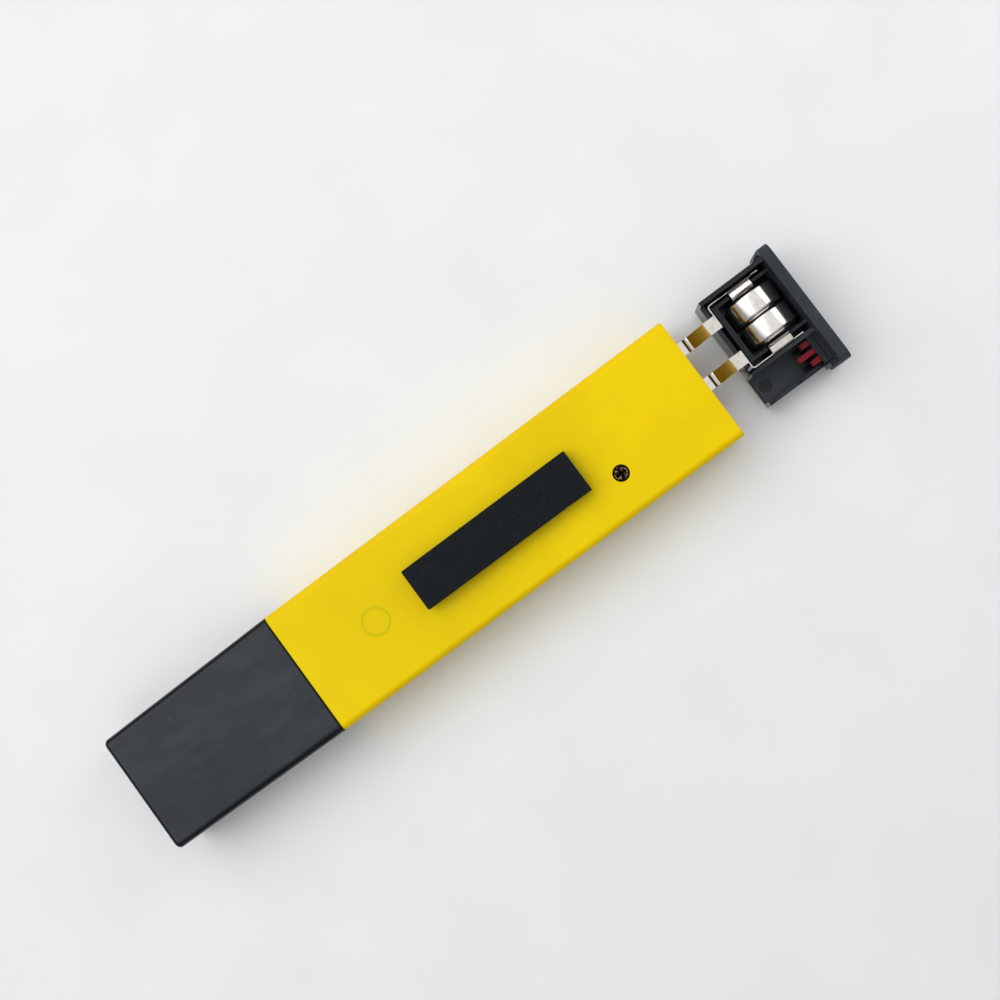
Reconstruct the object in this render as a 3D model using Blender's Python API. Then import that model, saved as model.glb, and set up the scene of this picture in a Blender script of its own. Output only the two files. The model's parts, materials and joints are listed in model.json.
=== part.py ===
"""Pocket pH meter lying on its display side, with its battery drawer pulled out.

All named sizes are in millimetres and are turned into metres when a mesh is made.
+X runs along the pen towards the battery end, +Z is up and towards the back with the clip.
Lengths along the pen are counted from the casing's battery end; the meshes are then moved
so that the middle of the whole object's length is at X = 0.
"""

from math import cos, pi, radians, sin

import bmesh
import bpy
from mathutils import Vector

# ---------------------------------------------------------------- driving dimensions
MM = 0.001
GAP = 0.3                    # between neighbouring pieces
SINK = 0.2                   # how far united shapes reach into each other
PAST = 1.0                   # how far a cutter reaches past the face that it cuts

WIDTH = 29.5                 # casing, across the pen
THICKNESS = 16.0
CASE_LENGTH = 104.4
EDGE = 1.6                   # radius along the casing's long edges
SIDE_WALL = 1.3
FACE_WALL = 1.4
NECK_END_WALL = 1.5
MID_Z = THICKNESS / 2
LUG_ROOM_DEPTH = 2.6         # notches for the drawer's side lugs, from the end

CAP_LENGTH = 44.4
CAP_END_WIDTH = 28.3
CAP_END_THICKNESS = 15.2
CAP_WALL = 1.5

DRAWER_TRAVEL = 24.6         # from the drawn-out place to closed
FLANGE_IN = 24.9             # inner face of the drawer's end flange, drawer out
FLANGE_THICKNESS = 2.4
TRAY_END = 8.9               # free end of the drawer's tray
TRAY_HALF_WIDTH = 13.15
TRAY_BOTTOM = 1.7
TRAY_TOP = 14.3
FLOOR_TOP = 2.4
TALL_WALL = 0.95             # side wall by the cells
LOW_WALL = 0.85              # side wall of the side compartment
LOW_WALL_TOP = 5.0
LOW_WALL_STEP_X = 17.3       # from here to the flange that wall is higher
LOW_WALL_STEP_TOP = 7.5
DIVIDER_Y = (-5.95, -5.1)    # wall between the bay and the side compartment
DIVIDER_TOP = 13.0
RIM_TOP = 11.2               # cell bay's rim
BAY_X = 10.75
BAY_END_WALL = 1.15
BAY_Y = (-3.4, 10.8)         # outer faces of the bay's side walls
BAY_SIDE_WALL = 0.7
RECESS_X = 19.6              # recess in the floor under the button, up to the shelf
RECESS_Y = (-12.0, -6.3)
RECESS_FLOOR = 2.05
MARK_PLACE = (11.35, -8.9)   # round mould mark on the side compartment's floor
MARK_RADIUS = 1.5
SHELF_IN = 23.6              # thick part of the flange behind the button
LIP_IN = 22.8                # thin lip of the shelf over the button's root
LIP_TOP = 11.0
LUG_Z = (4.5, 11.5)          # the flange's side lugs
LUG_OUT = 14.1               # outer face of the lug by the button
WEDGE_OUT = 14.4             # and of the tapered lug by the cells
LUG_Z_ROOM = (4.1, 11.9)     # and their notches in the casing

CELL_RADIUS = 5.8
CELL_HEIGHT = 5.2
CELL_PITCH = 5.5
CELL_X = 18.7
CELL_Z = 8.5
CELL_STACK_TOP = 8.75        # outer face of the first cell
CELL_STACK_BOTTOM = CELL_STACK_TOP - CELL_PITCH - CELL_HEIGHT

BAND = 0.25                  # contact sheet thickness
BAND_TOP = 11.45
BEND = 0.6                   # radius of the strips' corners
STRIP_END = 23.2
STRIP_Y_POSITIVE = 11.6
STRIP_Y_NEGATIVE = -4.65
LEAF_X = (15.45, 20.75)
TONGUE_WIDTH = 3.1
TONGUE_DROP = 2.95
TONGUE_Y_POSITIVE = 7.8
TONGUE_Y_NEGATIVE = -1.5

BUTTON_Y = -9.1
BUTTON_Z = 8.8
BUTTON_OUT = 1.0             # knob stands this far out of the flange
BUTTON_WIDTH = 4.0
BUTTON_HEIGHT = 3.0
STOP_WIDTH = 5.6             # bar in the shelf's pocket that keeps the button in
STOP_LENGTH = 0.9
STOP_DROP = 0.7              # it reaches this far below the knob
LEG_Y = (1.5, 2.7)           # the button's side legs, from its middle
BAR_HALF_WIDTH = 0.6
BAR_TIP = 18.9               # free end of the button's push bar
PLUNGER_OUT = 1.7

CLIP_X = (-74.3, -32.1)
CLIP_WIDTH = 9.9
CLIP_TOP = 19.6
CLIP_SHEET = 1.7
FOOT_X = (-35.4, -32.8)
FOOT_HALF_WIDTH = 4.0
FOOT_BOTTOM = 14.0
LIP_RADIUS = 1.4
CLIP_PIVOT = (-34.1, 0, 15.3)

TRIMMER_X = -25.2
TRIMMER_Y = -5.8
TRIMMER_HOLE_RADIUS = 1.85
TRIMMER_TOP = 12.8

PCB_Z = (6.0, 7.0)
PCB_X = (-72.0, -18.3)
PCB_HALF_WIDTH = 12.3
ARM_END = -7.4               # end of the board's arm that carries the power switch
WINDOW_X = (-57.0, -29.0)
WINDOW_HALF_WIDTH = 7.5
LABEL_X = (-66.0, -8.0)
LABEL_HALF_WIDTH = 12.6
LABEL_SEAT_DEPTH = 0.6
LABEL_Z = (0.05, 0.3)
LENS_Z = (0.3, 1.3)
LCD_Z = (2.9, 4.7)
SCREW_RADIUS = 0.9
POST_RADIUS = 1.75
SCREW_PLACES = ((-33.0, 10.6), (-66.0, -10.6))

NECK_WIDTH = 24.6
NECK_THICKNESS = 11.4
NECK_END = -119.0
RING_X = -112.0
GUARD_END = -142.5
STEM_RADIUS = 4.0
STEM_INNER_END = -95.0
BULB_END = -140.5
BULB_RADIUS = 4.2
JUNCTION_Y = 10.8
JUNCTION_RADIUS = 0.8
JUNCTION_LENGTH = 4.0
LEAD_RADIUS = 0.55

SEAM_X = -CASE_LENGTH - GAP
CAP_END = SEAM_X - CAP_LENGTH
FLANGE_OUT = FLANGE_IN + FLANGE_THICKNESS
MIDDLE = (CAP_END + FLANGE_OUT + BUTTON_OUT) / 2
COLLAR_X = (-CASE_LENGTH + 1.8, -CASE_LENGTH + 6.5)
ON_BOARD = PCB_Z[1] + GAP    # underside of what stands on the board


# ---------------------------------------------------------------- mesh tools
def clear_scene():
    for thing in list(bpy.data.objects):
        bpy.data.objects.remove(thing, do_unlink=True)


def make_object(name, bm):
    """Object from a bmesh in millimetres, moved so that the object's middle is at X = 0."""
    for vert in bm.verts:
        vert.co = Vector((vert.co.x - MIDDLE, vert.co.y, vert.co.z)) * MM
    bmesh.ops.recalc_face_normals(bm, faces=bm.faces)
    mesh = bpy.data.meshes.new(name)
    bm.to_mesh(mesh)
    bm.free()
    thing = bpy.data.objects.new(name, mesh)
    bpy.context.scene.collection.objects.link(thing)
    return thing


def prism(outline, direction):
    """Closed solid from a flat outline of 3-D points, pushed along a direction."""
    bm = bmesh.new()
    base = bm.faces.new([bm.verts.new(point) for point in outline])
    made = bmesh.ops.extrude_face_region(bm, geom=[base])["geom"]
    moved = [item for item in made if isinstance(item, bmesh.types.BMVert)]
    bmesh.ops.translate(bm, verts=moved, vec=direction)
    bmesh.ops.recalc_face_normals(bm, faces=bm.faces)
    return bm


def box(x, y, z):
    outline = [(x[0], y[0], z[0]), (x[1], y[0], z[0]), (x[1], y[1], z[0]), (x[0], y[1], z[0])]
    return prism(outline, (0, 0, z[1] - z[0]))


def rounded_rectangle(half_a, half_b, radius, steps):
    """Corner arcs of a rectangle centred on zero, in order round the outline."""
    points = []
    for quarter in range(4):
        centre_a = (half_a - radius) * (1 if quarter in (0, 3) else -1)
        centre_b = (half_b - radius) * (1 if quarter in (0, 1) else -1)
        for step in range(steps + 1):
            angle = (quarter + step / steps) * pi / 2
            points.append((centre_a + radius * cos(angle), centre_b + radius * sin(angle)))
    return points


def bar(x, width, thickness, radius, steps=3, end_width=None, end_thickness=None):
    """Rounded bar along X about the pen's middle line; it may taper towards x[1]."""
    end_width = end_width or width
    end_thickness = end_thickness or thickness
    bm = bmesh.new()
    rings = []
    for at, wide, thick in ((x[0], width, thickness), (x[1], end_width, end_thickness)):
        section = rounded_rectangle(wide / 2, thick / 2, radius, steps)
        rings.append([bm.verts.new((at, a, MID_Z + b)) for a, b in section])
    bm.faces.new(rings[0])
    bm.faces.new(list(reversed(rings[1])))
    count = len(rings[0])
    for i in range(count):
        j = (i + 1) % count
        bm.faces.new((rings[0][j], rings[0][i], rings[1][i], rings[1][j]))
    bmesh.ops.recalc_face_normals(bm, faces=bm.faces)
    return bm


def plate(x, y, z, radius, steps=3):
    """Flat plate in X and Y with rounded corners."""
    middle = ((x[0] + x[1]) / 2, (y[0] + y[1]) / 2)
    outline = rounded_rectangle((x[1] - x[0]) / 2, (y[1] - y[0]) / 2, radius, steps)
    points = [(middle[0] + a, middle[1] + b, z[0]) for a, b in outline]
    return prism(points, (0, 0, z[1] - z[0]))


def turned(profile, centre, axis, steps=24):
    """Solid of revolution. The profile lists (distance along the axis, radius) from end to end."""
    across = {"X": (Vector((1, 0, 0)), Vector((0, 1, 0)), Vector((0, 0, 1))),
              "Y": (Vector((0, 1, 0)), Vector((0, 0, 1)), Vector((1, 0, 0))),
              "Z": (Vector((0, 0, 1)), Vector((1, 0, 0)), Vector((0, 1, 0)))}[axis]
    along, first, second = across
    start = Vector(centre)
    bm = bmesh.new()
    rings = []
    for distance, radius in profile:
        base = start + along * distance
        turn = [2 * pi * step / steps for step in range(steps)]
        if radius == 0:
            rings.append([bm.verts.new(base)])
        else:
            rings.append([bm.verts.new(base + (first * cos(t) + second * sin(t)) * radius) for t in turn])
    for near, far in zip(rings, rings[1:]):
        for i in range(steps):
            j = (i + 1) % steps
            if len(near) == 1:
                bm.faces.new((near[0], far[j], far[i]))
            elif len(far) == 1:
                bm.faces.new((near[i], near[j], far[0]))
            else:
                bm.faces.new((near[i], near[j], far[j], far[i]))
    for ring in (rings[0], rings[-1]):
        if len(ring) > 1:
            bm.faces.new(ring)
    bmesh.ops.recalc_face_normals(bm, faces=bm.faces)
    return bm


def rod(centre, axis, length, radius, steps=24):
    return turned([(0, radius), (length, radius)], centre, axis, steps)


def ribbon(path, thickness, plane, span):
    """Bent sheet: a path in the XY, XZ or YZ plane, given a thickness and pushed over a span."""
    sides = ([], [])
    for i, point in enumerate(path):
        here = Vector(point)
        before = (here - Vector(path[i - 1])).normalized() if i else None
        after = (Vector(path[i + 1]) - here).normalized() if i + 1 < len(path) else None
        normals = [Vector((-d.y, d.x)) for d in (before, after) if d]
        mitre = sum(normals, Vector((0, 0))).normalized()
        reach = thickness / 2 / mitre.dot(normals[0])
        sides[0].append(here + mitre * reach)
        sides[1].append(here - mitre * reach)
    outline = sides[0] + sides[1][::-1]
    if plane == "XY":
        return prism([(a, b, span[0]) for a, b in outline], (0, 0, span[1] - span[0]))
    if plane == "XZ":
        return prism([(a, span[0], b) for a, b in outline], (0, span[1] - span[0], 0))
    return prism([(span[0], a, b) for a, b in outline], (span[1] - span[0], 0, 0))


def boolean(thing, operation, shapes):
    """Unites or cuts an object with a set of helper shapes; calls are carried out in order."""
    label = f"{thing.name}_{operation.lower()}_{len(thing.modifiers)}"
    helpers = bpy.data.collections.new(label)
    bpy.context.scene.collection.children.link(helpers)
    for count, bm in enumerate(shapes):
        helper = make_object(f"{label}_{count}", bm)
        bpy.context.scene.collection.objects.unlink(helper)
        helpers.objects.link(helper)
        helper.hide_render = True
        helper.display_type = "WIRE"
    modifier = thing.modifiers.new(operation.title(), "BOOLEAN")
    modifier.operation = operation
    modifier.operand_type = "COLLECTION"
    modifier.collection = helpers
    modifier.solver = "EXACT"


def bevel(thing, width):
    modifier = thing.modifiers.new("Bevel", "BEVEL")
    modifier.width = width * MM
    modifier.segments = 2
    modifier.limit_method = "ANGLE"
    modifier.angle_limit = radians(40)


def material(name, colour, roughness, metallic=0.0, clear=False):
    made = bpy.data.materials.new(name)
    made.use_nodes = True
    shader = made.node_tree.nodes["Principled BSDF"]
    shader.inputs["Base Color"].default_value = (*colour, 1)
    shader.inputs["Roughness"].default_value = roughness
    shader.inputs["Metallic"].default_value = metallic
    shader.inputs["Transmission Weight"].default_value = 0.9 if clear else 0.0
    return made


def part(name, look, base, add=(), cut=(), axis_point=None):
    """One named piece: a base shape, what is added to it and what is then cut away."""
    thing = make_object(name, base)
    thing.data.materials.append(material(name, *look))
    if axis_point:
        place = Vector((axis_point[0] - MIDDLE, axis_point[1], axis_point[2])) * MM
        for vert in thing.data.vertices:
            vert.co -= place
        thing.location = place
    thing.data.shade_smooth()
    thing.data.set_sharp_from_angle(angle=radians(35))
    if add:
        boolean(thing, "UNION", add)
    if cut:
        boolean(thing, "DIFFERENCE", cut)
    return thing


YELLOW = ((0.78, 0.62, 0.0), 0.38)
CAP_GREY = ((0.045, 0.055, 0.06), 0.5)
CLIP_BLACK = ((0.018, 0.022, 0.026), 0.48)
DRAWER_BLACK = ((0.016, 0.02, 0.028), 0.35)
NICKEL = ((0.72, 0.7, 0.66), 0.18, 1.0)
RED = ((0.42, 0.012, 0.03), 0.35)
GREEN_BOARD = ((0.02, 0.16, 0.07), 0.45)
WHITE = ((0.7, 0.7, 0.68), 0.5)
BLACK = ((0.02, 0.02, 0.02), 0.5)
GLASS = ((0.8, 0.85, 0.85), 0.05, 0.0, True)
SILVER = ((0.8, 0.8, 0.8), 0.2, 1.0)
BROWN = ((0.22, 0.12, 0.05), 0.45)
LABEL_GREY = ((0.2, 0.22, 0.24), 0.4)


# ---------------------------------------------------------------- casing
def casing_half(name, is_back, openings):
    """One half of the casing: the whole tube with its ends, less the other half."""
    tube = bar((-CASE_LENGTH, 0), WIDTH, THICKNESS, EDGE)
    inside_y = WIDTH / 2 - SIDE_WALL
    inside = box((-CASE_LENGTH + NECK_END_WALL, PAST), (-inside_y, inside_y),
                 (FACE_WALL, THICKNESS - FACE_WALL))
    neck_hole = bar((-CASE_LENGTH - PAST, -CASE_LENGTH + 2 * NECK_END_WALL), NECK_WIDTH + 2 * GAP,
                    NECK_THICKNESS + 2 * GAP, 2.0)
    other_half = (-PAST, MID_Z + GAP / 2) if is_back else (MID_Z - GAP / 2, THICKNESS + PAST)
    waste = box((-CASE_LENGTH - PAST, PAST), (-WIDTH, WIDTH), other_half)
    notches = [box((-LUG_ROOM_DEPTH, PAST), sorted((side * (inside_y - PAST), side * WIDTH)), LUG_Z_ROOM)
               for side in (-1, 1)]
    return part(name, YELLOW, tube, cut=[inside, neck_hole, waste, *notches, *openings])


def make_casing():
    below_face = THICKNESS - 2 * FACE_WALL
    hole = rod((TRIMMER_X, TRIMMER_Y, below_face), "Z", 4 * FACE_WALL, TRIMMER_HOLE_RADIUS, 28)
    foot_room = FOOT_HALF_WIDTH + 0.4
    slot = box((FOOT_X[0] - 0.4, FOOT_X[1] + 0.4), (-foot_room, foot_room), (below_face, THICKNESS + PAST))
    casing_half("back_shell", True, [hole, slot])

    window_y = (-WINDOW_HALF_WIDTH, WINDOW_HALF_WIDTH)
    window = plate(WINDOW_X, window_y, (-PAST, 2 * FACE_WALL), 1.0)
    label_y = (-LABEL_HALF_WIDTH, LABEL_HALF_WIDTH)
    label_seat = plate(LABEL_X, label_y, (-PAST, LABEL_SEAT_DEPTH), 2.0)
    shell = casing_half("front_shell", False, [window, label_seat])
    post_bottom = FACE_WALL - 2 * SINK
    post_length = PCB_Z[0] - GAP - post_bottom
    boolean(shell, "UNION", [rod((x, y, post_bottom), "Z", post_length, POST_RADIUS, 16)
                             for x, y in SCREW_PLACES])
    pilot = SCREW_RADIUS + GAP
    boolean(shell, "DIFFERENCE", [rod((x, y, FACE_WALL + GAP), "Z", post_length + PAST, pilot, 16)
                                  for x, y in SCREW_PLACES])

    label_edge = LABEL_HALF_WIDTH - GAP
    label = plate((LABEL_X[0] + GAP, LABEL_X[1] - GAP), (-label_edge, label_edge), LABEL_Z, 1.7)
    part("front_label", LABEL_GREY, label, cut=[plate(WINDOW_X, window_y, (-PAST, PAST), 1.0)])
    lens_x = (WINDOW_X[0] + GAP, WINDOW_X[1] - GAP)
    lens_y = WINDOW_HALF_WIDTH - GAP
    part("window_lens", GLASS, plate(lens_x, (-lens_y, lens_y), LENS_Z, 0.7))


def make_clip():
    """Pocket clip: a flat bar held by a foot at the battery end, with a lip at its free end."""
    half = CLIP_WIDTH / 2
    under = CLIP_TOP - CLIP_SHEET
    sheet = plate(CLIP_X, (-half, half), (under, CLIP_TOP), 0.25, 1)
    inside_sheet = under + CLIP_SHEET / 2
    root = box((FOOT_X[0] - 1.2, CLIP_X[1]), (-half, half), (THICKNESS + GAP, inside_sheet))
    foot = box(FOOT_X, (-FOOT_HALF_WIDTH, FOOT_HALF_WIDTH), (FOOT_BOTTOM, inside_sheet))
    lip = rod((CLIP_X[0] + 3.2, -half + 0.6, under), "Y", CLIP_WIDTH - 1.2, LIP_RADIUS, 16)
    part("pocket_clip", CLIP_BLACK, sheet, add=[root, foot, lip], axis_point=CLIP_PIVOT)


def make_cap():
    outer = bar((SEAM_X, CAP_END), WIDTH, THICKNESS, EDGE, 3, CAP_END_WIDTH, CAP_END_THICKNESS)
    walls = 2 * CAP_WALL
    hollow = bar((SEAM_X + PAST, CAP_END + CAP_WALL), WIDTH - walls, THICKNESS - walls, 0.8, 2,
                 CAP_END_WIDTH - walls, CAP_END_THICKNESS - walls)
    part("protective_cap", CAP_GREY, outer, cut=[hollow])


# ---------------------------------------------------------------- battery drawer
def make_tray():
    """Drawer: end flange, floor, cell bay, side compartment for the switch, and two side lugs."""
    end_x = FLANGE_IN + SINK
    wide = TRAY_HALF_WIDTH

    def wall(start, y, top, end=end_x):
        return box((start, end), y, (TRAY_BOTTOM, top))

    low_wall = (-wide, -wide + LOW_WALL)
    added = [
        wall(TRAY_END, (-wide, wide), FLOOR_TOP),
        wall(TRAY_END, (wide - TALL_WALL, wide), TRAY_TOP),
        wall(TRAY_END, low_wall, LOW_WALL_TOP),
        wall(LOW_WALL_STEP_X, low_wall, LOW_WALL_STEP_TOP),
        wall(TRAY_END, (-wide, -wide + 1.0), 9.0, TRAY_END + 1.4),
        wall(TRAY_END, DIVIDER_Y, DIVIDER_TOP),
        wall(TRAY_END, (DIVIDER_Y[0], wide), RIM_TOP - GAP, TRAY_END + 1.0),
        wall(BAY_X, BAY_Y, RIM_TOP, BAY_X + BAY_END_WALL),
        wall(BAY_X, (BAY_Y[1] - BAY_SIDE_WALL, BAY_Y[1]), RIM_TOP),
        wall(BAY_X, (BAY_Y[0], BAY_Y[0] + BAY_SIDE_WALL), RIM_TOP),
        wall(SHELF_IN, (-wide + LOW_WALL / 2, DIVIDER_Y[1] + SINK), RIM_TOP),
        box((FLANGE_IN - 1.4, end_x), (-LUG_OUT, -wide + SINK), LUG_Z),
        prism([(22.8, wide - SINK, LUG_Z[0]), (end_x, wide - SINK, LUG_Z[0]), (end_x, WEDGE_OUT, LUG_Z[0]),
               (FLANGE_IN, WEDGE_OUT, LUG_Z[0]), (22.8, wide, LUG_Z[0])], (0, 0, LUG_Z[1] - LUG_Z[0])),
    ]
    half_width, half_height = BUTTON_WIDTH / 2 + GAP, BUTTON_HEIGHT / 2 + GAP
    knob_y = (BUTTON_Y - half_width, BUTTON_Y + half_width)
    knob_z = (BUTTON_Z - half_height, BUTTON_Z + half_height)
    pocket_y = (BUTTON_Y - STOP_WIDTH / 2 - GAP, BUTTON_Y + STOP_WIDTH / 2 + GAP)
    added.append(box((LIP_IN, SHELF_IN + SINK), (-wide + LOW_WALL / 2, DIVIDER_Y[1] + SINK),
                     (knob_z[1], LIP_TOP)))
    leaf_gap = (LEAF_X[0] - GAP, LEAF_X[1] + GAP)
    leaf_room_z = (4.0, RIM_TOP + PAST)
    cuts = [
        box((SHELF_IN - PAST, FLANGE_OUT + PAST), knob_y, knob_z),
        box((SHELF_IN - PAST, FLANGE_IN), pocket_y, (knob_z[0] - STOP_DROP, knob_z[1])),
        box((RECESS_X, SHELF_IN), RECESS_Y, (RECESS_FLOOR, FLOOR_TOP + PAST)),
        box(leaf_gap, (BAY_Y[1] - BAY_SIDE_WALL - 0.5, BAY_Y[1] + 0.15), leaf_room_z),
        box(leaf_gap, (BAY_Y[0] - 0.15, BAY_Y[0] + BAY_SIDE_WALL + 0.5), leaf_room_z),
        rod((*MARK_PLACE, RECESS_FLOOR), "Z", PAST, MARK_RADIUS, 24),
        plate((TRAY_END - 2, TRAY_END + 1.2), (-5.3, -3.6), (-PAST, THICKNESS + PAST), 0.6, 2),
    ]
    part("battery_tray", DRAWER_BLACK, bar((FLANGE_IN, FLANGE_OUT), WIDTH, THICKNESS, EDGE),
         add=added, cut=cuts)


def make_contact(name, strip_y, tongue_y, inward):
    """Sheet contact: strip on edge, corner, tongue with its slope and ridge, and the leaf on the cells.

    inward is +1 when the cells lie towards +Y of the strip and -1 when they lie towards -Y.
    """
    level = BAND_TOP - BAND / 2
    cross_x = TRAY_END + 1.42
    tongue = (tongue_y - TONGUE_WIDTH / 2, tongue_y + TONGUE_WIDTH / 2)
    inset = 0.05             # keeps united faces out of one plane
    far_edge = tongue[1] - inset if inward > 0 else tongue[0] + inset
    bend = [(cross_x + BEND * (1 - sin(t)), strip_y + inward * BEND * (1 - cos(t)))
            for t in (i * pi / 8 for i in range(5))]
    strip = ribbon([(STRIP_END, strip_y), *bend, (cross_x, far_edge)], BAND, "XY", (2.9, BAND_TOP - inset))
    low = level - TONGUE_DROP
    route = [(cross_x + BAND / 2, level), (7.5, level), (3.3, low), (2.95, low), (2.55, low + 0.4),
             (2.1, low), (-2.2, low), (-3.0, low + 0.3)]
    blade = ribbon(route, BAND, "XZ", tongue)
    face = CELL_STACK_TOP if inward < 0 else CELL_STACK_BOTTOM
    leaf_y = face - inward * (GAP + BAND / 2)
    leaf = ribbon([(strip_y - inward * 2 * inset, level), (leaf_y - inward * 0.9, level + 0.3),
                   (leaf_y - inward * 0.3, level), (leaf_y, level - 0.7), (leaf_y, 5.0)], BAND, "YZ", LEAF_X)
    part(name, NICKEL, strip, add=[blade, leaf])


def make_cell(name, outer_face):
    """Button cell on its side: the can's flat base at the outer face, the smaller cap at the other end."""
    profile = [(0, 0), (0, 5.4), (0.12, 5.68), (0.4, CELL_RADIUS), (4.3, CELL_RADIUS), (4.62, 5.68),
               (4.75, 5.3), (4.75, 4.75), (CELL_HEIGHT - 0.2, 4.6), (CELL_HEIGHT, 4.35), (CELL_HEIGHT, 0)]
    mirrored = [(-distance, radius) for distance, radius in profile]
    part(name, NICKEL, turned(mirrored, (CELL_X, outer_face, CELL_Z), "Y", 36))


def make_button():
    """Power button: knob through the flange, stop bar behind it, two side legs and a long push bar."""
    def across(half_width):
        return (BUTTON_Y - half_width, BUTTON_Y + half_width)

    low, high = BUTTON_Z - BUTTON_HEIGHT / 2, BUTTON_Z + BUTTON_HEIGHT / 2
    stop_end = FLANGE_IN - GAP
    knob = box((stop_end - SINK, FLANGE_OUT + BUTTON_OUT), across(BUTTON_WIDTH / 2), (low, high))
    added = [
        box((stop_end - STOP_LENGTH, stop_end), across(STOP_WIDTH / 2), (low - STOP_DROP, BUTTON_Z)),
        box((BAR_TIP, stop_end), across(BAR_HALF_WIDTH), (low, high)),
        box((BAR_TIP + 2.0, stop_end), (BUTTON_Y + LEG_Y[0], BUTTON_Y + LEG_Y[1]), (low, high)),
        box((BAR_TIP + 2.0, stop_end), (BUTTON_Y - LEG_Y[1], BUTTON_Y - LEG_Y[0]), (low, high)),
    ]
    thing = part("power_button", RED, knob, add=added, axis_point=(SHELF_IN, BUTTON_Y, BUTTON_Z))
    bevel(thing, 0.15)


# ---------------------------------------------------------------- electronics
def make_board():
    """Circuit board with its switch arm, its two screws and the chips on it."""
    board = plate(PCB_X, (-PCB_HALF_WIDTH, PCB_HALF_WIDTH), PCB_Z, 1.0, 2)
    arm = box((PCB_X[1] - PAST, ARM_END), (-11.8, -6.4), PCB_Z)
    holes = [rod((x, y, PCB_Z[0] - PAST), "Z", 4, SCREW_RADIUS + GAP, 16) for x, y in SCREW_PLACES]
    part("main_pcb", GREEN_BOARD, board, add=[arm], cut=holes)

    shank = 4.6
    screw = [(0, 0), (0, SCREW_RADIUS), (shank, SCREW_RADIUS), (shank, 1.7), (shank + 0.7, 1.7),
             (shank + 1.1, 1.1), (shank + 1.1, 0)]
    for number, (x, y) in enumerate(SCREW_PLACES, 1):
        part(f"pcb_screw_{number}", SILVER, turned(screw, (x, y, ON_BOARD - shank), "Z", 16))

    blob = [(0, 0), (0, 5.2), (0.5, 4.9), (1.1, 3.6), (1.5, 1.6), (1.6, 0)]
    part("controller_blob", BLACK, turned(blob, (-46, 0, ON_BOARD), "Z", 20))
    chip_x, pin_pitch, pin_width = -63.0, 1.3, 0.5
    pins = [box((x, x + pin_width), (-3.0, 3.0), (ON_BOARD, ON_BOARD + pin_width))
            for x in (chip_x + 0.4 + i * pin_pitch for i in range(4))]
    body = box((chip_x, chip_x + 5.1), (-2.0, 2.0), (ON_BOARD + SINK, ON_BOARD + 1.7))
    part("amplifier_chip", BLACK, body, add=pins)

    pad_top = BAND_TOP - TONGUE_DROP - BAND - GAP
    for name, y in (("positive", TONGUE_Y_POSITIVE), ("negative", TONGUE_Y_NEGATIVE)):
        part(f"battery_pad_{name}", NICKEL, box((-27.4, -22.6), (y - 1.4, y + 1.4), (ON_BOARD, pad_top)))


def make_trimmer():
    """Calibration trimmer under the hole in the back: fixed body, and a rotor with a cross slot."""
    def square(half, z):
        return box((TRIMMER_X - half, TRIMMER_X + half), (TRIMMER_Y - half, TRIMMER_Y + half), z)

    well = rod((TRIMMER_X, TRIMMER_Y, TRIMMER_TOP - 0.8), "Z", 2, 1.3, 20)
    part("trimmer_body", BROWN, square(2.4, (ON_BOARD, TRIMMER_TOP)), cut=[well])
    rotor_low = TRIMMER_TOP + GAP
    rotor = turned([(-0.7, 0), (-0.7, 1.0), (0, 1.0), (0, 1.65), (0.9, 1.65), (1.1, 1.45), (1.1, 0)],
                   (TRIMMER_X, TRIMMER_Y, rotor_low), "Z", 28)
    slot_z = (rotor_low + 0.4, rotor_low + 2)
    half_length, half_width = 1.3, 0.32
    slots = [box((TRIMMER_X - a, TRIMMER_X + a), (TRIMMER_Y - b, TRIMMER_Y + b), slot_z)
             for a, b in ((half_length, half_width), (half_width, half_length))]
    part("trimmer_rotor", BROWN, rotor, cut=slots, axis_point=(TRIMMER_X, TRIMMER_Y, rotor_low))


def make_power_switch():
    """Power switch on the board's arm. Its plunger meets the button's bar when the drawer is closed."""
    def across(half_width):
        return (BUTTON_Y - half_width, BUTTON_Y + half_width)

    tip = BAR_TIP - DRAWER_TRAVEL - GAP
    face = tip - PLUNGER_OUT
    sleeve = box((face - 2.4, face + PAST), across(1.0), (BUTTON_Z - 0.9, BUTTON_Z + 0.9))
    part("power_switch_body", BLACK, box((face - 4.6, face), across(2.2), (ON_BOARD, ON_BOARD + 3.0)),
         cut=[sleeve])
    plunger = box((face - 0.9, tip), across(0.7), (BUTTON_Z - 0.6, BUTTON_Z + 0.6))
    part("power_switch_plunger", WHITE, plunger, axis_point=(tip, BUTTON_Y, BUTTON_Z))


def make_display():
    """Display stack under the board: frame against the front face, glass, and the rubber connector."""
    frame_top = PCB_Z[0] - GAP
    glass_x = (WINDOW_X[0] - 1.0, WINDOW_X[1] + 1.0)
    glass_half = 7.3
    recess_half = glass_half + GAP
    frame_half = recess_half + 0.8
    recess = box((glass_x[0] - GAP, glass_x[1] + GAP), (-recess_half, recess_half),
                 (LCD_Z[0] - GAP, frame_top + PAST))
    opening = box((WINDOW_X[0] + 1, WINDOW_X[1] - 1), (-6.0, 6.0), (-PAST, frame_top))
    frame = box((glass_x[0] - 1.6, glass_x[1] + 1.6), (-frame_half, frame_half), (FACE_WALL + GAP, frame_top))
    part("lcd_frame", WHITE, frame, cut=[recess, opening])
    part("lcd_glass", GLASS, box(glass_x, (-glass_half, glass_half), LCD_Z))
    strip = box((glass_x[0] + 0.5, glass_x[1] - 0.5), (4.6, 6.9), (LCD_Z[1] + GAP, frame_top))
    part("zebra_strip", BLACK, strip)


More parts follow.
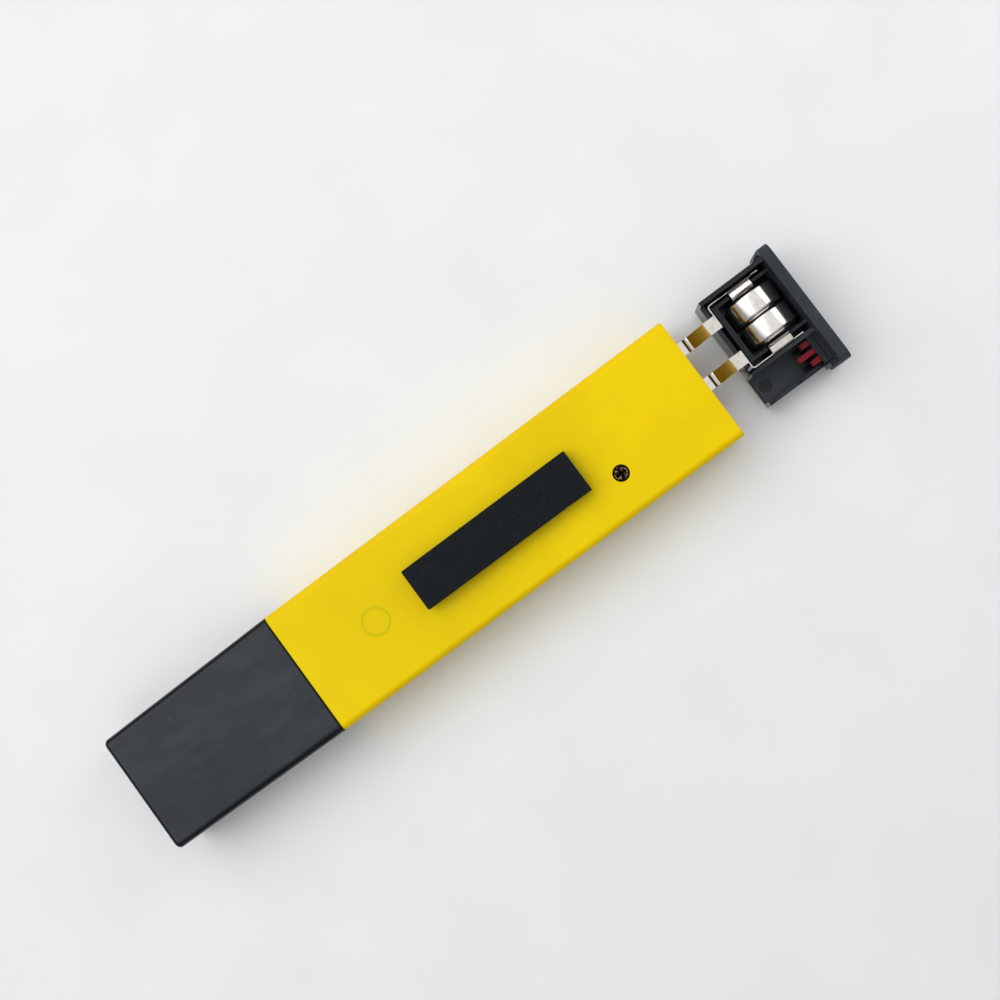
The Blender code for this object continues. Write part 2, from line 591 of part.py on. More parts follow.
# ---------------------------------------------------------------- electrode
def make_holder():
    """Electrode holder: collar inside the casing, flat neck with a ring groove, and a slotted bulb guard."""
    inside_y = WIDTH / 2 - SIDE_WALL - GAP
    collar = box(COLLAR_X, (-inside_y, inside_y), (FACE_WALL + GAP, THICKNESS - FACE_WALL - GAP))
    groove_half, groove_depth = 1.1, 0.9
    core = bar((COLLAR_X[0] + PAST, NECK_END + PAST), NECK_WIDTH - 2 * groove_depth,
               NECK_THICKNESS - 2 * groove_depth, 1.0)
    added = [
        collar,
        bar((COLLAR_X[0] + PAST, RING_X + groove_half), NECK_WIDTH, NECK_THICKNESS, 1.8),
        bar((RING_X - groove_half, NECK_END), NECK_WIDTH, NECK_THICKNESS, 1.8),
        bar((NECK_END + 2, GUARD_END), 19.0, 11.0, 4.0, 4),
    ]
    open_x = (GUARD_END - PAST, NECK_END - 5)
    cuts = [
        rod((GUARD_END - 2 * PAST, 0, MID_Z), "X", 60, STEM_RADIUS + GAP, 24),
        box(open_x, (-5.2, 5.2), (-PAST, THICKNESS + PAST)),
        box((GUARD_END + 5.5, open_x[1]), (-WIDTH, WIDTH), (MID_Z - 2.0, MID_Z + 2.0)),
        rod((NECK_END - PAST, JUNCTION_Y, MID_Z), "X", JUNCTION_LENGTH + PAST, JUNCTION_RADIUS + GAP, 16),
    ]
    part("electrode_holder", BLACK, core, add=added, cut=cuts)
    junction = rod((NECK_END - GAP, JUNCTION_Y, MID_Z), "X", JUNCTION_LENGTH, JUNCTION_RADIUS, 16)
    part("reference_junction", WHITE, junction)
    ring = bar((RING_X - 0.8, RING_X + 0.8), NECK_WIDTH + 0.9, NECK_THICKNESS + 0.9, 2.0)
    ring_hole = bar((RING_X - 2, RING_X + 2), NECK_WIDTH - 1.2, NECK_THICKNESS - 1.2, 1.3)
    part("neck_o_ring", BLACK, ring, cut=[ring_hole])


def make_glass_electrode():
    """Glass bulb, its stem with the silver wire inside, the rear seal, and the two leads to the board."""
    bulb = [(BULB_RADIUS * (1 - cos(t)), BULB_RADIUS * sin(t)) for t in (i * pi / 12 for i in range(10))]
    bulb.append((bulb[-1][0], 0))
    part("glass_bulb", GLASS, turned(bulb, (BULB_END, 0, MID_Z), "X", 24))
    stem_start = BULB_END + bulb[-1][0] + GAP
    stem = rod((stem_start, 0, MID_Z), "X", STEM_INNER_END - stem_start, STEM_RADIUS, 24)
    bore = rod((stem_start - PAST, 0, MID_Z), "X", 50, STEM_RADIUS - 1.0, 24)
    part("electrode_stem", GLASS, stem, cut=[bore])
    wire_length = 38.1
    part("reference_wire", SILVER, rod((stem_start, 0, MID_Z), "X", wire_length, 0.5, 10))
    seal = rod((COLLAR_X[1] + GAP, 0, MID_Z), "X", 2.5, 6.2, 24)
    part("electrode_seal", BLACK, seal, cut=[rod((COLLAR_X[1], 0, MID_Z), "X", 5, STEM_RADIUS + GAP, 24)])
    board_end_x = PCB_X[0] - 0.5
    make_lead("signal_lead", (board_end_x, 3.0, 6.5), (stem_start + wire_length + 0.4, 0, MID_Z), RED)
    make_lead("reference_lead", (board_end_x, -3.0, 6.5), (-94.7, -5.2, MID_Z), WHITE)


def make_lead(name, start, end, look):
    """Thin insulated wire on a smooth run between two points."""
    curve = bpy.data.curves.new(name, "CURVE")
    curve.dimensions = "3D"
    curve.bevel_depth = LEAD_RADIUS * MM
    curve.bevel_resolution = 1
    curve.use_fill_caps = True
    count = 14
    rise = 1.5
    spline = curve.splines.new("POLY")
    spline.points.add(count - 1)
    for i, point in enumerate(spline.points):
        t = i / (count - 1)
        ease = t * t * (3 - 2 * t)
        x = start[0] + (end[0] - start[0]) * t - MIDDLE
        y = start[1] + (end[1] - start[1]) * ease
        z = start[2] + (end[2] - start[2]) * ease + rise * sin(pi * t) ** 2
        point.co = (x * MM, y * MM, z * MM, 1)
    curve.materials.append(material(name, *look))
    thing = bpy.data.objects.new(name, curve)
    bpy.context.scene.collection.objects.link(thing)


clear_scene()
make_casing()
make_clip()
make_cap()
make_tray()
make_contact("contact_positive", STRIP_Y_POSITIVE, TONGUE_Y_POSITIVE, -1)
make_contact("contact_negative", STRIP_Y_NEGATIVE, TONGUE_Y_NEGATIVE, 1)
make_cell("button_cell_1", CELL_STACK_TOP)
make_cell("button_cell_2", CELL_STACK_TOP - CELL_PITCH)
make_button()
make_board()
make_trimmer()
make_power_switch()
make_display()
make_holder()
make_glass_electrode()
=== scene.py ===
"""Looks of the pocket pH meter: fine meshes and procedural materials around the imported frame.

Sizes are in millimetres, and are turned into metres when a mesh is made.
"""

import json
from math import cos, pi, radians, sin

import bmesh
import bpy
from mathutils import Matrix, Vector


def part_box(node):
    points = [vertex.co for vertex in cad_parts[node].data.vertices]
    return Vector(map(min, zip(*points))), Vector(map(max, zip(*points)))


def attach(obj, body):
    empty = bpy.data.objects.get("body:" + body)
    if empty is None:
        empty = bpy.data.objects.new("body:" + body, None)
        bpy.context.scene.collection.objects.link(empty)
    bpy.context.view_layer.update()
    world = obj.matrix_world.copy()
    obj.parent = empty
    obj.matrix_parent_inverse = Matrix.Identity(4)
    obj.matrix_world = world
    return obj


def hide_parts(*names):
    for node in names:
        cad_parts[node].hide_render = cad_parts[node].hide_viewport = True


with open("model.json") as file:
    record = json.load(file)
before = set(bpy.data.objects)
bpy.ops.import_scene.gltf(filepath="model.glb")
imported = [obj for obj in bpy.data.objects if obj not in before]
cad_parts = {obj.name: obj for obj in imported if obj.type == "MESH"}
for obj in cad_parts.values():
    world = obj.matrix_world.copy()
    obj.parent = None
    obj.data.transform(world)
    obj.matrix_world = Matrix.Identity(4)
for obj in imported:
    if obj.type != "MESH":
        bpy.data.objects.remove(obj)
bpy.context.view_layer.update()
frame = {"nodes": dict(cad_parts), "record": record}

MM = 0.001
GAP = 0.3                    # between neighbouring pieces
WALL_SIDE = 1.3              # casing walls
WALL_FACE = 1.4
WALL_NECK = 1.5
EDGE = 1.6                   # radius along the long edges
ARC_STEPS = 8                # steps in each rounded corner

NODES = frame["nodes"]
RECORD = frame["record"]
BODY_OF = {node: body for body, nodes in RECORD["behaviour"]["bodies"].items() for node in nodes}
SLOT_OF = {row["node"]: row["material_slot"] for row in RECORD["subparts"]}
HINGES = {row["name"]: [value / MM for value in row["pos_m"]]
          for row in RECORD["behaviour"]["joints"] if "pos_m" in row}


def span(node):
    """A node's ranges along X, Y and Z in millimetres."""
    low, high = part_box(node)
    return [(low[i] / MM, high[i] / MM) for i in range(3)]


def middle(node):
    return [(low + high) / 2 for low, high in span(node)]


def widened(limits, by):
    """A range made longer at both ends, or shorter where by is negative."""
    return limits[0] - by, limits[1] + by


# ---------------------------------------------------------------- shader helpers
class Look:
    """A procedural material, built up node by node from the object's own coordinates."""

    def __init__(self, name, roughness, metallic=0.0, **sockets):
        self.material = bpy.data.materials.new(name)
        self.material.use_nodes = True
        self.tree = self.material.node_tree
        self.shader = self.tree.nodes["Principled BSDF"]
        self.shader.inputs["Roughness"].default_value = roughness
        self.shader.inputs["Metallic"].default_value = metallic
        for label, value in sockets.items():
            self.shader.inputs[label.replace("_", " ")].default_value = value
        self.place = self.node("ShaderNodeTexCoord").outputs["Object"]
        self.last_normal = None

    def node(self, kind, **settings):
        made = self.tree.nodes.new(kind)
        for label, value in settings.items():
            setattr(made, label, value)
        return made

    def link(self, source, target):
        self.tree.links.new(source, target)

    def mapped(self, scale=(1, 1, 1), turn=0.0):
        mapping = self.node("ShaderNodeMapping")
        mapping.inputs["Scale"].default_value = scale
        mapping.inputs["Rotation"].default_value = (0, 0, turn)
        self.link(self.place, mapping.inputs["Vector"])
        return mapping.outputs["Vector"]

    def noise(self, size_mm, detail=3.0, stretch=(1, 1, 1), turn=0.0):
        """Noise whose blobs are about size_mm across, longer where stretch is under 1."""
        made = self.node("ShaderNodeTexNoise")
        made.inputs["Scale"].default_value = 1 / (size_mm * MM)
        made.inputs["Detail"].default_value = detail
        made.inputs["Roughness"].default_value = 0.55
        self.link(self.mapped(stretch, turn), made.inputs["Vector"])
        return made.outputs["Fac"]

    def ramp(self, source, low, high, low_value=0.0, high_value=1.0):
        """Remaps a value, clamped at both ends."""
        made = self.node("ShaderNodeMapRange")
        made.inputs["From Min"].default_value = low
        made.inputs["From Max"].default_value = high
        made.inputs["To Min"].default_value = low_value
        made.inputs["To Max"].default_value = high_value
        self.link(source, made.inputs["Value"])
        return made.outputs["Result"]

    def math(self, operation, first, second):
        made = self.node("ShaderNodeMath", operation=operation)
        for socket, value in zip(made.inputs, (first, second)):
            if isinstance(value, (int, float)):
                socket.default_value = value
            else:
                self.link(value, socket)
        return made.outputs["Value"]

    def mix(self, factor, first, second):
        """Mixes two colours, each a tuple or another node's output."""
        made = self.node("ShaderNodeMix", data_type="RGBA")
        self.link(factor, made.inputs["Factor"])
        for label, value in (("A", first), ("B", second)):
            socket = [s for s in made.inputs if s.name == label and s.type == "RGBA"][0]
            if isinstance(value, tuple):
                socket.default_value = (*value, 1)
            else:
                self.link(value, socket)
        return [s for s in made.outputs if s.type == "RGBA"][0]

    def drift(self, size_mm, first, second, low=0.35):
        """Wanders slowly between two colours."""
        return self.mix(self.ramp(self.noise(size_mm, 2), low, 1 - low), first, second)

    def along(self, axis):
        """The object's own coordinate along one axis, in metres."""
        split = self.node("ShaderNodeSeparateXYZ")
        self.link(self.place, split.inputs["Vector"])
        return split.outputs[axis]

    def band(self, axis, low_mm, high_mm, soft_mm=0.05):
        """1 between two places along an axis, 0 outside."""
        at = self.along(axis)
        rise = self.ramp(at, (low_mm - soft_mm) * MM, (low_mm + soft_mm) * MM)
        fall = self.ramp(at, (high_mm - soft_mm) * MM, (high_mm + soft_mm) * MM, 1, 0)
        return self.math("MULTIPLY", rise, fall)

    def patch(self, x, y):
        """1 inside a rectangle in X and Y."""
        return self.math("MULTIPLY", self.band("X", *x), self.band("Y", *y))

    def long_edges(self, y, z, width_mm):
        """1 round the edges that run along X, 0 on the flats between them."""
        flat_y, flat_z = [self.band(axis, *widened(limits, -width_mm), 0.35)
                          for axis, limits in (("Y", y), ("Z", z))]
        return self.math("SUBTRACT", 1, self.math("MAXIMUM", flat_y, flat_z))

    def scratches(self, spacing_mm, turn, width=0.03):
        """Fine broken scratches in one direction: 1 on a scratch and 0 elsewhere."""
        cells = self.node("ShaderNodeTexVoronoi", feature="DISTANCE_TO_EDGE")
        cells.inputs["Scale"].default_value = 1 / (spacing_mm * MM)
        self.link(self.mapped((0.16, 1, 1), turn), cells.inputs["Vector"])
        line = self.ramp(cells.outputs["Distance"], 0, width, 1, 0)
        return self.math("MULTIPLY", line, self.ramp(self.noise(spacing_mm * 2.2, 2), 0.55, 0.72))

    def convex_edges(self):
        """1 on exposed edges, from the attribute stored on every piece; used for painted shade and painted
        highlights on edges, and for wear.
        """
        return self.node("ShaderNodeAttribute", attribute_name="edge_convexity").outputs["Fac"]

    def colour(self, source):
        self.link(source, self.shader.inputs["Base Color"])

    def roughness(self, source, low, high):
        self.link(self.ramp(source, 0.3, 0.7, low, high), self.shader.inputs["Roughness"])

    def bump(self, height, depth_mm):
        """Adds relief on top of any that is there already."""
        made = self.node("ShaderNodeBump")
        made.inputs["Distance"].default_value = depth_mm * MM
        self.link(height, made.inputs["Height"])
        if self.last_normal:
            self.link(self.last_normal, made.inputs["Normal"])
        self.last_normal = made.outputs["Normal"]
        self.link(self.last_normal, self.shader.inputs["Normal"])


def scaled(colour, factor):
    return tuple(min(1.0, value * factor) for value in colour)


# ---------------------------------------------------------------- materials
def moulded(name, base, roughness, grain_mm=0.35, grain_depth=0.004, **sockets):
    """Moulded plastic: slow colour drift, fine grain and a slight waviness."""
    look = Look(name, roughness, **sockets)
    look.colour(look.drift(22, scaled(base, 0.94), scaled(base, 1.04)))
    look.roughness(look.noise(5, 3), roughness - 0.04, roughness + 0.06)
    look.bump(look.noise(grain_mm, 4), grain_depth)
    look.bump(look.noise(16, 1), 0.015)
    return look.material


def plated(name, base, dark, roughness, lines=(1, 1, 1), line_mm=0.3):
    """Plated metal: fine drawn lines, cloudy tarnish and small handling marks."""
    look = Look(name, roughness, 1.0)
    clouds = look.ramp(look.noise(1.6, 4), 0.45, 0.75)
    tone = look.mix(look.math("MULTIPLY", clouds, 0.4), base, dark)
    marks = look.scratches(0.9, 0.7, 0.05)
    look.colour(look.mix(look.math("MULTIPLY", marks, 0.3), tone, dark))
    drawn = look.noise(line_mm, 3, lines)
    look.roughness(drawn, roughness - 0.04, roughness + 0.08)
    look.bump(drawn, 0.001)
    return look.material


def clear(name, tint, roughness=0.03, ior=1.49):
    """Clear plastic or glass with a hint of unevenness."""
    look = Look(name, roughness, Transmission_Weight=1.0, IOR=ior)
    look.colour(look.drift(8, tint, scaled(tint, 0.97), 0.3))
    look.bump(look.noise(3, 2), 0.0006)
    return look.material


def shell_look():
    """Slightly translucent yellow plastic, with a painted orange glow at the open end and painted darker
    orange shade round the long edges.
    """
    look = Look("yellow_shell", 0.36, Specular_IOR_Level=0.08, Subsurface_Weight=0.45,
                Subsurface_Scale=0.0014, Subsurface_Radius=(1.0, 0.5, 0.06))
    (_, end), y, (_, top) = span("back_shell")
    tone = look.drift(24, (0.8, 0.585, 0.0), (0.87, 0.64, 0.0))
    # Painted glow: the open end is tinted orange, standing in for light through the thin plastic.
    end_glow = look.math("MULTIPLY", look.band("X", end - 0.3, end + 1, 0.15), 0.6)
    tone = look.mix(end_glow, tone, (0.92, 0.5, 0.0))
    # Painted shade: the long rounded edges are tinted a darker orange.
    edges = look.math("MULTIPLY", look.long_edges(y, (0, top), 1.2), 0.32)
    tone = look.mix(edges, tone, (0.78, 0.44, 0.0))
    clouds = look.math("MULTIPLY", look.noise(9, 4), look.noise(2.5, 4, (0.4, 1, 1), 0.6))
    look.colour(look.mix(look.ramp(clouds, 0.25, 0.5, 0, 0.2), tone, (0.74, 0.55, 0.01)))
    look.roughness(look.noise(4, 4, (0.5, 1, 1)), 0.32, 0.44)
    marks = look.math("MAXIMUM", look.scratches(2.2, 0.5), look.scratches(2.9, -0.9))
    look.bump(marks, -0.0015)
    look.bump(look.noise(0.5, 4), 0.0012)
    look.bump(look.noise(16, 1), 0.015)
    return look.material


def cap_look():
    """Grey-black cap, rubbed dull on its flats and glossy round its edges, where its colour is near-black
    painted shade.
    """
    (end, mouth), y, z = span("protective_cap")
    end_edge, mouth_edge, long_edge = 1.0, 0.25, 1.65
    look = Look("cap_grey", 0.4, Specular_IOR_Level=0.26)
    ends = look.math("SUBTRACT", 1, look.band("X", end + end_edge, mouth - mouth_edge, 0.15))
    edges = look.math("MAXIMUM", look.long_edges(y, z, long_edge), ends)
    clouds = look.math("MULTIPLY", look.noise(13, 3, (0.7, 1, 1)), look.noise(3.2, 4, (0.35, 1, 1), 0.6))
    tone = look.drift(22, (0.012, 0.0165, 0.022), (0.0155, 0.0215, 0.0275))
    tone = look.mix(look.ramp(clouds, 0.18, 0.42, 0, 0.8), tone, (0.032, 0.0395, 0.0475))
    marks = look.math("MAXIMUM", look.scratches(1.3, 0.5), look.scratches(1.7, -0.9))
    tone = look.mix(look.math("MULTIPLY", marks, 0.35), tone, (0.055, 0.064, 0.072))
    # Painted shade: the edges and ends are coloured near-black.
    look.colour(look.mix(edges, tone, (0.0012, 0.0018, 0.0026)))
    look.link(look.ramp(edges, 0, 1, 0.41, 0.24), look.shader.inputs["Roughness"])
    look.bump(marks, -0.002)
    look.bump(look.noise(0.3, 4), 0.003)
    look.bump(look.noise(16, 1), 0.015)
    return look.material


def clip_look():
    """Black plastic with a spark-eroded grain, its rounded edges darkened by painted shade."""
    look = Look("clip_black", 0.5, Specular_IOR_Level=0.1)
    grain = look.ramp(look.noise(0.45, 5), 0.38, 0.66)
    tone = look.mix(grain, (0.0035, 0.006, 0.0085), (0.011, 0.0165, 0.0205))
    tone = look.mix(look.ramp(look.noise(6, 3), 0.4, 0.7, 0, 0.6), tone, (0.0075, 0.0115, 0.0145))
    # Painted shade: the rounded edges are coloured near-black, drawing their dark outline.
    look.colour(look.mix(look.ramp(look.convex_edges(), 0.2, 0.8, 0, 0.9), tone, (0.001, 0.0015, 0.002)))
    look.roughness(look.noise(3, 3), 0.44, 0.56)
    look.bump(look.noise(0.3, 4), 0.02)
    return look.material


def trimmer_look():
    """Brass rotor: dark brown as painted shade for its place deep in the hole, with bright flecks as painted
    glints and near-black painted shade inside its cross slot.
    """
    look = Look("trimmer_metal", 0.38, 1.0)
    top = span("trimmer_rotor")[2][1]
    slot_top, slot_dark = top - 0.1, top - 0.25
    # Painted shade and glints: a dark brown base for the rotor sitting deep in its hole, with bright flecks
    # standing in for glints.
    glint_flecks = look.ramp(look.noise(0.55, 5), 0.52, 0.6)
    tone = look.mix(glint_flecks, (0.035, 0.02, 0.012), (0.5, 0.37, 0.22))
    tone = look.mix(look.ramp(look.noise(0.35, 3), 0.55, 0.62), tone, (0.012, 0.008, 0.006))
    # Painted shade: near-black inside the cross slot, below the rotor's top.
    slot_shade = look.ramp(look.along("Z"), slot_dark * MM, slot_top * MM, 1, 0)
    look.colour(look.mix(slot_shade, tone, (0.006, 0.004, 0.003)))
    look.bump(look.noise(0.4, 4), 0.05)
    return look.material


def drawer_look():
    """Black plastic: polished walls, and a paler satin grain on the flange and the button's compartment,
    whose floor is paler still as a painted sheen and whose recess is near-black painted shade; edges are
    lighter with wear and painted highlights.
    """
    look = Look("drawer_black", 0.3, Specular_IOR_Level=0.3)
    (start, end), (side, _), _ = span("battery_tray")
    flange_start = end - 2.9
    compartment_x, compartment_y = (start + 0.6, end - 3), (side + 1.6, side + 9)
    floor_z, recess_z = (2.2, 2.6), (1.8, 2.2)
    compartment = look.patch(compartment_x, compartment_y)
    low, shaded_recess = [look.math("MULTIPLY", compartment, look.band("Z", *limits, 0.04))
                     for limits in (floor_z, recess_z)]
    satin = look.math("MAXIMUM", look.band("X", flange_start, end + 1), low)
    polished = look.drift(9, (0.0025, 0.004, 0.006), (0.004, 0.006, 0.009))
    clouds = look.math("MULTIPLY", look.noise(7, 3), look.noise(2.4, 4, (0.5, 1, 1), 0.6))
    matte = look.mix(look.ramp(clouds, 0.15, 0.4), (0.013, 0.018, 0.024), (0.024, 0.031, 0.039))
    tone = look.mix(satin, polished, matte)
    # Painted sheen: the compartment floor is paler.
    tone = look.mix(low, tone, (0.036, 0.047, 0.058))
    # Painted shade: the recess by the button is near-black.
    tone = look.mix(shaded_recess, tone, (0.004, 0.005, 0.007))
    marks = look.math("MAXIMUM", look.scratches(1.1, 0.4, 0.04), look.scratches(1.6, -1.0, 0.03))
    tone = look.mix(look.math("MULTIPLY", marks, 0.3), tone, (0.04, 0.047, 0.055))
    # Lighter edges: wear, and painted highlights along the rims.
    look.colour(look.mix(look.ramp(look.convex_edges(), 0.3, 0.9, 0, 0.45), tone, (0.045, 0.052, 0.06)))
    look.link(look.ramp(satin, 0, 1, 0.2, 0.42), look.shader.inputs["Roughness"])
    look.bump(look.math("MULTIPLY", satin, look.noise(0.25, 4)), 0.006)
    look.bump(look.noise(5, 2), 0.01)
    return look.material


def board_look():
    """Green solder mask over copper tracks, which show as a paler raised pattern."""
    look = Look("board_green", 0.32)
    mask = look.drift(6, (0.006, 0.075, 0.03), (0.01, 0.11, 0.045), 0.3)
    tracks = look.node("ShaderNodeTexBrick")
    tracks.inputs["Scale"].default_value = 1 / (5 * MM)
    tracks.inputs["Mortar Size"].default_value = 0.04
    look.link(look.place, tracks.inputs["Vector"])
    look.colour(look.mix(look.math("MULTIPLY", tracks.outputs["Fac"], 0.6), mask, (0.04, 0.22, 0.09)))
    look.bump(tracks.outputs["Fac"], 0.03)
    return look.material


def label_look():
    """Printed film: slate panel, darker surround of the window, a pale keyline and an accent band."""
    x, y, _ = span("front_label")
    window_x, window_y, _ = span("window_lens")
    white, margin, keyline, surround = (0.72, 0.73, 0.74), 1.2, 0.3, 3
    field_x, field_y = [widened(limits, -margin - keyline) for limits in (x, y)]
    look = Look("label_face", 0.34)
    slate = look.drift(12, (0.075, 0.085, 0.1), (0.09, 0.1, 0.118))
    border = look.patch(widened(x, -margin), widened(y, -margin))
    tone = look.mix(look.math("SUBTRACT", border, look.patch(field_x, field_y)), slate, white)
    dark = look.patch(widened(window_x, surround), widened(window_y, surround))
    tone = look.mix(dark, tone, (0.016, 0.018, 0.021))
    # The accent band and a thin line beside it, measured back from the end by the drawer.
    for far, near, colour in ((13.2, 11.8, (0.8, 0.6, 0.01)), (11.3, 10.9, white)):
        tone = look.mix(look.patch((x[1] - far, x[1] - near), field_y), tone, colour)
    look.colour(tone)
    look.roughness(look.noise(4, 3), 0.3, 0.42)
    look.bump(look.noise(0.12, 3), 0.003)
    return look.material


def display_look():
    """Reflective display cell: grey-green field with a darker sealed rim."""
    x, y, _ = span("lcd_glass")
    rim_x, rim_y = 2.2, 1.6
    look = Look("display_glass", 0.16)
    field = look.patch(widened(x, -rim_x), widened(y, -rim_y))
    look.colour(look.mix(field, (0.16, 0.19, 0.15), look.drift(9, (0.3, 0.35, 0.27), (0.35, 0.4, 0.31), 0.3)))
    look.bump(look.noise(0.25, 2), 0.0006)
    return look.material


def wire_look():
    """Silver wire, darkened by its chloride coat towards the bulb."""
    look = Look("silver_wire", 0.35, 0.9)
    start, coated_length = span("reference_wire")[0][0], 14
    coat = look.band("X", start - 1, start + coated_length, 1.5)
    mottled = look.mix(look.ramp(look.noise(0.6, 4), 0.35, 0.7), (0.1, 0.085, 0.085), (0.2, 0.17, 0.17))
    look.colour(look.mix(coat, (0.75, 0.74, 0.72), mottled))
    look.bump(look.noise(0.3, 4), 0.01)
    return look.material


LOOKS = {
    "yellow_shell": shell_look(),
    "cap_grey": cap_look(),
    "clip_black": clip_look(),
    "drawer_black": drawer_look(),
    "contact_nickel": plated("contact_nickel", (0.78, 0.75, 0.69), (0.42, 0.37, 0.3), 0.15, (0.1, 1, 1), 0.2),
    "cell_steel": plated("cell_steel", (0.84, 0.81, 0.76), (0.55, 0.52, 0.47), 0.19, (1, 0.06, 1), 0.3),
    "button_red": moulded("button_red", (0.2, 0.002, 0.012), 0.24, 0.4, 0.002, Specular_IOR_Level=0.2),
    "board_green": board_look(),
    "display_white": moulded("display_white", (0.72, 0.72, 0.69), 0.5),
    "display_glass": display_look(),
    "lens_clear": clear("lens_clear", (0.93, 0.96, 0.95)),
    "label_face": label_look(),
    "rubber_black": moulded("rubber_black", (0.016, 0.016, 0.017), 0.62, 0.25, 0.01),
    "chip_black": moulded("chip_black", (0.02, 0.02, 0.022), 0.5, 0.2, 0.006),
    "trimmer_brown": moulded("trimmer_brown", (0.16, 0.075, 0.025), 0.45, 0.25, 0.004),
    "trimmer_metal": trimmer_look(),
    "screw_steel": plated("screw_steel", (0.7, 0.7, 0.7), (0.4, 0.4, 0.4), 0.25),
    "electrode_black": moulded("electrode_black", (0.014, 0.015, 0.017), 0.4, 0.3, 0.004),
    "electrode_glass": clear("electrode_glass", (0.95, 0.98, 0.98), 0.01, 1.5),
    "silver_wire": wire_look(),
    "junction_ceramic": moulded("junction_ceramic", (0.75, 0.72, 0.66), 0.8, 0.15, 0.02),
    "lead_red": moulded("lead_red", (0.5, 0.02, 0.02), 0.35),
    "lead_white": moulded("lead_white", (0.75, 0.75, 0.73), 0.35),
}


# ---------------------------------------------------------------- mesh helpers
def new_object(name, bm):
    """Object from a bmesh in millimetres."""
    bmesh.ops.recalc_face_normals(bm, faces=bm.faces)
    bmesh.ops.scale(bm, vec=(MM, MM, MM), verts=bm.verts)
    mesh = bpy.data.meshes.new(name)
    bm.to_mesh(mesh)
    bm.free()
    thing = bpy.data.objects.new(name, mesh)
    bpy.context.scene.collection.objects.link(thing)
    return thing


def applied(thing):
    """Turns an object's modifiers into its mesh."""
    bpy.context.view_layer.update()
    graph = bpy.context.evaluated_depsgraph_get()
    mesh = bpy.data.meshes.new_from_object(thing.evaluated_get(graph), depsgraph=graph)
    thing.modifiers.clear()
    thing.data = mesh
    return thing


def boolean(thing, operation, shapes):
    for bm in shapes:
        helper = new_object("helper", bm)
        modifier = thing.modifiers.new("Boolean", "BOOLEAN")
        modifier.operation = operation
        modifier.object = helper
        modifier.solver = "EXACT"
        applied(thing)
        bpy.data.objects.remove(helper, do_unlink=True)
    return thing


def rounded_section(half_y, half_z, radius, steps=ARC_STEPS):
    """Rounded rectangle in Y and Z about zero, in order round its outline."""
    points = []
    for quarter in range(4):
        centre_y = (half_y - radius) * (1 if quarter in (0, 3) else -1)
        centre_z = (half_z - radius) * (1 if quarter in (0, 1) else -1)
        for step in range(steps + 1):
            angle = (quarter + step / steps) * pi / 2
            points.append((centre_y + radius * cos(angle), centre_z + radius * sin(angle)))
    return points


def bridge(bm, near, far):
    """Side faces between two rings of equally many points."""
    for i in range(len(near)):
        j = (i + 1) % len(near)
        bm.faces.new((near[i], near[j], far[j], far[i]))


def loft(sections, mid_z):
    """Closed solid through rounded rectangles, each (x, half width, half thickness, corner radius)."""
    bm = bmesh.new()
    rings = [[bm.verts.new((x, y, mid_z + z)) for y, z in rounded_section(half_y, half_z, radius)]
             for x, half_y, half_z, radius in sections]
    for near, far in zip(rings, rings[1:]):
        bridge(bm, near, far)
    bm.faces.new(rings[0])
    bm.faces.new(rings[-1][::-1])
    return bm


def rounded_end(x, half_y, half_z, corner, radius, direction, steps=6):
    """Sections that round a bar off into its end face at x; direction is +1 when the end faces +X."""
    sections = []
    for step in range(steps + 1):
        angle = step / steps * pi / 2
        inset = radius * (1 - cos(angle))
        sections.append((x - direction * radius * (1 - sin(angle)), half_y - inset, half_z - inset,
                         max(corner - inset, 0.2)))
    return sections


def prism(outline, z):
    """Upright solid on an outline in X and Y."""
    bm = bmesh.new()
    low, high = [[bm.verts.new((x, y, at)) for x, y in outline] for at in z]
    bm.faces.new(low[::-1])
    bm.faces.new(high)
    bridge(bm, low, high)
    return bm


def block(x, y, z):
    return prism(((x[0], y[0]), (x[1], y[0]), (x[1], y[1]), (x[0], y[1])), z)


def plate(x, y, z, radius):
    """Flat plate with rounded corners in plan."""
    outline = rounded_section((x[1] - x[0]) / 2, (y[1] - y[0]) / 2, radius, 6)
    return prism([(sum(x) / 2 + a, sum(y) / 2 + b) for a, b in outline], z)


AXES = {"X": (Vector((1, 0, 0)), Vector((0, 1, 0)), Vector((0, 0, 1))),
        "Y": (Vector((0, 1, 0)), Vector((0, 0, 1)), Vector((1, 0, 0))),
        "Z": (Vector((0, 0, 1)), Vector((1, 0, 0)), Vector((0, 1, 0)))}


def turned(profile, centre, axis, steps=64, closed=False):
    """Solid of revolution from (distance along the axis, radius) points; closed joins last to first."""
    along, first, second = AXES[axis]
    bm = bmesh.new()
    rings = []
    for distance, radius in profile:
        base = Vector(centre) + along * distance
        turn = [2 * pi * step / steps for step in range(steps)] if radius else [0]
        rings.append([bm.verts.new(base + (first * cos(t) + second * sin(t)) * radius) for t in turn])
    pairs = list(zip(rings, rings[1:]))
    if closed:
        pairs.append((rings[-1], rings[0]))
    for near, far in pairs:
        for i in range(steps):
            j = (i + 1) % steps
            corners = [near[i % len(near)], near[j % len(near)], far[j % len(far)], far[i % len(far)]]
            bm.faces.new(list(dict.fromkeys(corners)))
    return bm


def rod(centre, axis, length, radius, steps=64):
    return turned([(0, 0), (0, radius), (length, radius), (length, 0)], centre, axis, steps)


def arc(centre_x, centre_r, radius, start_deg, end_deg, steps=8):
    """Points of a circular arc in a turned profile."""
    angles = [radians(start_deg + (end_deg - start_deg) * i / steps) for i in range(steps + 1)]
    return [(centre_x + radius * cos(angle), centre_r + radius * sin(angle)) for angle in angles]


